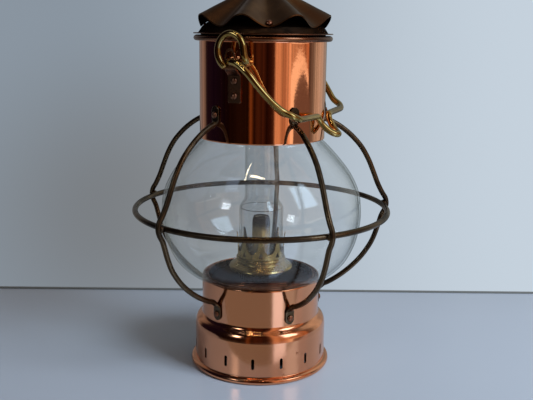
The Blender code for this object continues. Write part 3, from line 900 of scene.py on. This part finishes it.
def bail_half():
    """(out, sideways, up) points of one half of the bail, from its free end to the middle of the grip."""
    pts = []
    for t in (-120, -136, -153, -173, 166, 145, 124, 103, 82, 61, 40, 20, 0):
        a = math.radians(t)
        pts.append((75.9, 2.5 + 12.6 * math.cos(a), 8.4 + 15.3 * math.sin(a)))
    pts += [(75.9, 15.8, 4.6), (74.9, 16.6, 1.2), (72, 16.2, -1.2), (69.4, 14.8, -2.3), (66.5, 10.6, -2.2)]
    pts += [(65.3, 6, -1.5), (65.9, 1.9, -0.5), (67.8, 0.1, 0), (70.4, 0, 0), (73.2, 0.1, -0.1)]
    pts += [(75.8, 1.2, -0.6), (78, 3.8, -0.8), (79.8, 6.6, -0.9), (80.6, 12.2, -2.9), (81.8, 21.4, -9.6)]
    pts += [(80.6, 29.5, -19.3), (77.6, 36.9, -28.5), (73.4, 43.6, -36.4), (68.4, 50, -42.7)]
    pts += [(64.9, 57.1, -46.7)]
    pts += [(61.8, 59.8, -48.6), (58.2, 61.3, -49.8), (53, 61.9, -50.4), (36, 62.2, -50.9)]
    pts += [(19.5, 62.8, -51.4), (15.2, 63.6, -52.4), (12.4, 65.5, -57.1), (9.6, 69.8, -62.6)]
    pts += [(6.4, 74.3, -66.5), (3.4, 77.6, -68.3)]
    return pts


def build_bail():
    away = outward(BAIL_ANGLE)
    sideways = Vector((-away.y, away.x, 0))
    apex = (0, 79, -68.7)
    half = bail_half()
    whole = half + [apex] + [(-out, side, up) for out, side, up in reversed(half)]
    path = [BAIL_PIVOT + away * out + sideways * side + Vector((0, 0, up)) for out, side, up in whole]
    bail = round_bar("bail_handle_look", smooth_run(path, 6), BAIL_BAR, 24)
    finish(bail, "bail_handle", "handle", "bail_brass")


# ---------------------------------------------------------------- lid


def flute(angle):
    """0 along the middle of a valley, 1 along a crest."""
    return 0.5 - 0.5 * math.cos(math.radians(FLUTES * (angle - VALLEY)))


def hood_height(angle, radius):
    """The height of the hood's upper face."""
    valley = VALLEY_FOOT + (VALLEY_RIM - radius) * CONE_SLOPE
    crest = CREST_FOOT + (CREST_RIM - radius) * CREST_SLOPE
    return valley + (crest - valley) * flute(angle)


def hood_rim(angle):
    """How far out the hood's edge is."""
    return VALLEY_RIM + (CREST_RIM - VALLEY_RIM) * flute(angle)


def cone_height(radius):
    """The height of the plain cone under the hood."""
    return CONE_FOOT + (CONE_RIM - radius) * CONE_SLOPE


def build_hood():
    """The fluted sheet, bronze above, and below it a darker bronze that is painted shade under the hood."""
    steps, rows, inner = 240, 44, 3.4
    verts, faces = [], []
    for side in (0, 1):
        for j in range(rows + 1):
            for k in range(steps):
                angle = 360 * k / steps
                rim = hood_rim(angle)
                radius = rim + (inner - rim) * j / rows
                drop = 0.12 * noise.noise(Vector((radius * 0.09, angle * 0.05, 3.0)))
                height = hood_height(angle, radius) + drop - side * HOOD_SHEET
                verts.append(polar(angle, radius, height))
    layer = (rows + 1) * steps
    for side in (0, 1):
        for j in range(rows):
            for k in range(steps):
                n = (k + 1) % steps
                a = side * layer + j * steps
                faces.append((a + k, a + n, a + steps + n, a + steps + k))
    for k in range(steps):
        n = (k + 1) % steps
        top = rows * steps
        faces.append((k, n, layer + n, layer + k))
        faces.append((top + k, top + n, layer + top + n, layer + top + k))
    hood = piece("hood_look", verts, faces)
    finish(hood, "hood", "lid", "roof_bronze")
    # the underside takes a darker bronze: painted shade under the hood
    hood.data.materials.append(MATERIAL["bronze_painted_shade"])
    for face in hood.data.polygons[rows * steps : 2 * rows * steps]:
        face.material_index = 1


def build_lid():
    """The cap, the lid's plate and the rivets between the plate's cone and the hood."""
    cap = [(0, 376.6), (4.6, 376.6), (4.6, 377.7), (2.6, 378), (2.6, 382.6), (9, 381.6), (9.4, 382.3)]
    cap += [(7.6, 384.8), (4.2, 387), (0, 387.8)]
    knob = lathe("hood_cap_look", eased(cap, 0.8, 4), 72)
    finish(knob, "hood_cap", "lid", "roof_bronze")

    plate = [(67.2, 332.4), (67.2, 333.4), (62.6, 333.4), (CONE_RIM, CONE_FOOT), (34, cone_height(34))]
    plate += [(34, cone_height(34) - HOOD_SHEET), (57.4, 338.92)]
    plate += [(59.1, 336.4), (59.1, 320), (60.1, 320), (60.1, 332.4)]
    flange = lathe("lid_plate_look", eased(plate, 0.3))
    finish(flange, "lid_plate", "lid", "roof_bronze", "bead_copper")
    # the plate's parts under the hood take a darker bronze: painted shade
    flange.data.materials.append(MATERIAL["bronze_painted_shade"])
    for face in flange.data.polygons:
        if math.hypot(face.center.x, face.center.y) < HOOD_SHADE_REACH * MM:
            face.material_index = 1

    slope = math.atan(CONE_SLOPE)
    for n in range(4):
        angle = VALLEY + 90 * n
        way = outward(angle) * math.sin(slope) + Vector((0, 0, math.cos(slope)))
        foot = polar(angle, HOOD_RIVET_OUT, cone_height(HOOD_RIVET_OUT))
        pin = rivet("hood_rivet_look_%d" % (n + 1), foot, way, 2.3, 1.4)
        finish(pin, "hood_rivet_%d" % (n + 1), "lid", "copper_rivet")


# ---------------------------------------------------------------- surroundings


# The wall that the camera sees is painted light: darker on the left and lighter on the right, with a painted
# shadow of the lantern low on its left.
WALL_LEFT = (0.252, 0.298, 0.35)
WALL_RIGHT = (0.56, 0.64, 0.72)
WALL_PAINTED_SHADOW = (0.77, 0.70, 0.64)
WALL_SPAN = (-0.26, 0.34)
SHADE_LEFT = 0.165
SHADE_DOWN = 0.23
SHADE_WIDEN = 0.9
SHADE_REACH = (0.02, 0.26)

# What the lantern reflects round the room: angle, light. The colour ramp holds at most 32 of them.
ROOM = [
    (-180, (0.17, 0.18, 0.19)), (-130, (0.22, 0.21, 0.20)), (-121, (0.012, 0.008, 0.014)),
    (-100, (0.008, 0.004, 0.016)), (-85, (0.006, 0.003, 0.010)), (-62, (0.006, 0.002, 0.001)),
    (-40, (0.014, 0.006, 0.003)), (-25, (0.012, 0.005, 0.002)), (-20.5, (0.17, 0.065, 0.02)),
    (-15, (0.010, 0.003, 0.001)), (-9, (0.05, 0.018, 0.008)), (0, (0.045, 0.016, 0.008)),
    (8, (0.010, 0.003, 0.001)), (15, (0.03, 0.010, 0.005)), (20.5, (0.08, 0.035, 0.02)),
    (22.5, (0.72, 0.46, 0.29)), (34, (0.58, 0.35, 0.21)), (40, (0.40, 0.22, 0.13)),
    (48, (0.75, 0.50, 0.33)), (60, (0.5, 0.32, 0.2)), (88, (0.42, 0.2, 0.1)),
    (92, (0.12, 0.10, 0.09)), (101, (0.14, 0.13, 0.12)), (106, (0.42, 0.44, 0.42)),
    (126, (0.55, 0.56, 0.52)), (160, (0.25, 0.27, 0.26)),
]

# Patches of light, four low round the room and two windows: from and to round the lantern, from and to up,
# softness, light.
PATCHES = [
    (-180, 180, -90, -13, 2.0, (0.225, 0.228, 0.22)),
    (64, 180, -90, -13, 5.0, (0.17, 0.185, 0.20)),
    (46, 72, -90, -13, 5.0, (0.42, 0.48, 0.54)),
    (24, 46, -90, -13, 2.5, (1.05, 1.3, 1.75)),
    (45, 70, 20, 50, 2.0, (3.0, 3.8, 4.6)),
    (-52, -40, 20, 34, 2.0, (1.1, 1.3, 1.5)),
]
# A lit arch low in the room and the dark one inside it: middle, half width, top, drop, light.
ARCHES = [
    (70, 20, -1.7, 1.8, (1.15, 0.98, 0.78)),
    (76, 19, -3.2, 2.0, (0.17, 0.12, 0.10)),
]
ARCH_EDGE = (-0.01, 0.03)
ARCH_FOOT = (-0.24, -0.21)


def arch(tree, turn, rise, middle, half, top, drop):
    """1 inside a round-headed opening that widens downwards from its top."""
    high, low = (math.sin(math.radians(v)) for v in (top, top - drop))
    below = spread(tree, rise, high, low, soft=False)
    wide = maths(tree, "MULTIPLY", maths(tree, "SQRT", below), math.radians(half))
    off = maths(tree, "ABSOLUTE", maths(tree, "SUBTRACT", turn, math.radians(middle)))
    inside = spread(tree, maths(tree, "SUBTRACT", wide, off), *ARCH_EDGE)
    return maths(tree, "MULTIPLY", inside, spread(tree, rise, *ARCH_FOOT))


def patch(tree, turn, rise, turns, rises, soft):
    """1 inside a soft-edged patch of the surroundings, 0 outside it."""
    edge = math.radians(soft)

    def within(value, low, high):
        past_low = spread(tree, value, low - edge, low + edge)
        before_high = spread(tree, value, high - edge, high + edge, 1, 0)
        return maths(tree, "MULTIPLY", past_low, before_high)

    inside = within(turn, *(math.radians(v) for v in turns))
    upright = within(rise, *(math.sin(math.radians(v)) for v in rises))
    return maths(tree, "MULTIPLY", inside, upright)


def seen_wall(tree, across, up):
    """The pale wall that the camera looks at, with painted light: darker on the left and lighter on the
    right, and a painted shadow of the lantern low on its left.
    """
    wall = mixed(tree, spread(tree, across, *WALL_SPAN), WALL_LEFT, WALL_RIGHT)
    aside = maths(tree, "MULTIPLY", maths(tree, "ADD", across, SHADE_LEFT), SHADE_WIDEN)
    above = maths(tree, "ADD", up, SHADE_DOWN)
    aside_squared = maths(tree, "MULTIPLY", aside, aside)
    above_squared = maths(tree, "MULTIPLY", above, above)
    off = maths(tree, "SQRT", maths(tree, "ADD", aside_squared, above_squared))
    return mixed(tree, spread(tree, off, *SHADE_REACH, 1, 0), wall, WALL_PAINTED_SHADOW, "MULTIPLY")


def room_bands(tree, turn):
    """ROOM's light taken round the lantern, with fine upright streaks."""
    ramp = tree.nodes.new("ShaderNodeValToRGB")
    bands = ramp.color_ramp
    bands.interpolation = "LINEAR"
    for n, (angle, colour) in enumerate(ROOM):
        place = (angle + 180) / 360
        stop = bands.elements[n] if n < 2 else bands.elements.new(place)
        stop.position = place
        stop.color = (*colour, 1)
    tree.links.new(spread(tree, turn, -math.pi, math.pi, soft=False), ramp.inputs[0])
    fine = maths(tree, "MULTIPLY", turn, 9.0)
    streaks = node(
        tree, "ShaderNodeTexNoise", {"noise_dimensions": "1D"}, W=fine, Scale=1.0, Detail=4.0, Roughness=0.7
    ).outputs[0]
    streaks = spread(tree, streaks, 0.3, 0.7, 0.55, 1.45, soft=False)
    return mixed(tree, 1.0, ramp.outputs[0], streaks, "MULTIPLY")


def build_world():
    """A pale wall for the camera, with painted light and a painted shadow of the lantern on it, and a room of
    light and dark that lights the lantern and is mirrored in it."""
    world = bpy.data.worlds.new("room")
    bpy.context.scene.world = world
    world.use_nodes = True
    tree = world.node_tree
    tree.nodes.clear()
    out = tree.nodes.new("ShaderNodeOutputWorld")
    way = tree.nodes.new("ShaderNodeTexCoord").outputs["Generated"]
    across, back, up = node(tree, "ShaderNodeSeparateXYZ", {}, Vector=way).outputs
    wall = seen_wall(tree, across, up)
    turn = maths(tree, "ARCTAN2", across, maths(tree, "MULTIPLY", back, -1.0))
    room = room_bands(tree, turn)
    for from_turn, to_turn, from_rise, to_rise, soft, colour in PATCHES:
        share = patch(tree, turn, up, (from_turn, to_turn), (from_rise, to_rise), soft)
        room = mixed(tree, share, room, colour)
    for middle, half, top, drop, colour in ARCHES:
        room = mixed(tree, arch(tree, turn, up, middle, half, top, drop), room, colour)
    seen = node(tree, "ShaderNodeLightPath", {}).outputs["Is Camera Ray"]
    colour = mixed(tree, seen, room, wall)
    light = node(tree, "ShaderNodeBackground", {}, Color=colour, Strength=1.0)
    tree.links.new(light.outputs[0], out.inputs[0])


def table_material():
    """A plain pale satin top, with painted shade that darkens it towards its front edge."""
    made, tree, out = fresh("table_top")
    where = tree.nodes.new("ShaderNodeTexCoord").outputs["Object"]
    split = node(tree, "ShaderNodeSeparateXYZ", {}, Vector=where).outputs
    shader = node(tree, "ShaderNodeBsdfPrincipled", {}, Roughness=0.22)
    tint = mixed(tree, clouds(tree, where, 3.0, 3.0), TABLE_TINT, TABLE_TINT_WARM)
    # painted shade: the top is darker towards its front edge
    painted_front_shade = spread(tree, split[1], -0.14, 0.12, 0.86, 1.0, soft=False)
    tint = mixed(tree, 1.0, tint, painted_front_shade, "MULTIPLY")
    tree.links.new(tint, shader.inputs["Base Color"])
    tree.links.new(shader.outputs[0], out.inputs[0])
    return made


def slab(name, front, back, low, high):
    """A block as wide as the table, in metres."""
    left, right = -TABLE_HALF, TABLE_HALF
    corners = ((left, front), (right, front), (right, back), (left, back))
    verts = [Vector((x, y, z)) / MM for z in (low, high) for x, y in corners]
    faces = [(0, 1, 2, 3), (4, 5, 6, 7), (0, 1, 5, 4), (1, 2, 6, 5), (2, 3, 7, 6), (3, 0, 4, 7)]
    return piece(name, verts, faces, smooth=False)


def build_table():
    """The table top, and a thin dark strip along its back edge that is a painted shadow of that edge."""
    top = slab("table_top", TABLE_FRONT, TABLE_BACK, -TABLE_THICK, 0)
    edge = top.modifiers.new("edge", "BEVEL")
    edge.width = TABLE_EDGE
    edge.segments = 3
    top.data.materials.append(table_material())
    # the dark strip is a painted shadow along the table's back edge
    strip = slab("table_edge_shadow", TABLE_BACK - EDGE_SHADOW_WIDE, TABLE_BACK, *EDGE_SHADOW_HEIGHTS)
    made, tree, out = fresh("table_edge_shadow")
    shader = node(tree, "ShaderNodeBsdfPrincipled", {}, i0=(0.15, 0.16, 0.16), Roughness=0.4)
    tree.links.new(shader.outputs[0], out.inputs[0])
    strip.data.materials.append(made)


def lamp(name, angle, height, distance, wide, high, power, colour):
    """A soft light that faces the lantern, its distance and size in metres and its power in watts."""
    data = bpy.data.lights.new(name, "AREA")
    data.shape = "RECTANGLE"
    data.size = wide
    data.size_y = high
    data.energy = power
    data.color = colour
    obj = placed(name, data)
    rise = math.radians(height)
    place = outward(angle) * math.cos(rise) * distance + Vector((0, 0, math.sin(rise) * distance))
    target = Vector((0, 0, 0.16))
    obj.location = place + target
    obj.rotation_euler = (-place).to_track_quat("-Z", "Y").to_euler()
    return obj


def build_lights():
    """Four soft lamps. The main one is left out of reflections, where a patch of the room stands in
    for it."""
    window = lamp("window", 57, 34, 1.5, 0.62, 0.5, 26, (0.86, 0.94, 1.0))
    window.visible_glossy = False
    lamp("far_window", -42, 24, 1.8, 0.30, 0.35, 2.0, (0.85, 0.93, 1.0))
    lamp("strip_left", -34, 66, 1.6, 0.02, 0.30, 0.5, (1.0, 0.86, 0.6))
    lamp("strip_front", -10, 66, 1.6, 0.40, 0.02, 0.7, (1.0, 0.86, 0.6))


def build_camera():
    data = bpy.data.cameras.new("camera")
    data.lens = LENS
    data.sensor_width = SENSOR
    data.sensor_fit = "HORIZONTAL"
    data.clip_start = 0.01
    obj = placed("camera", data)
    fore = Vector((math.sin(YAW) * math.cos(PITCH), math.cos(YAW) * math.cos(PITCH), -math.sin(PITCH)))
    flat = Vector((math.cos(YAW), -math.sin(YAW), 0))
    head = flat.cross(fore)
    right = flat * math.cos(ROLL) + head * math.sin(ROLL)
    up = head * math.cos(ROLL) - flat * math.sin(ROLL)
    turn = Matrix((right, up, -fore)).transposed().to_4x4()
    obj.matrix_world = Matrix.Translation(EYE) @ turn
    bpy.context.scene.camera = obj


build_camera()
build_world()
build_table()
build_lights()
MATERIAL.update(make_materials())
build_base()
build_font()
build_burner()
build_gallery()
build_tubes()
build_winder()
build_glass()
build_guard()
build_cylinder()
build_lugs()
build_bail()
build_hood()
build_lid()

bpy.context.scene.view_settings.view_transform = "Standard"
bpy.context.scene.view_settings.look = "None"
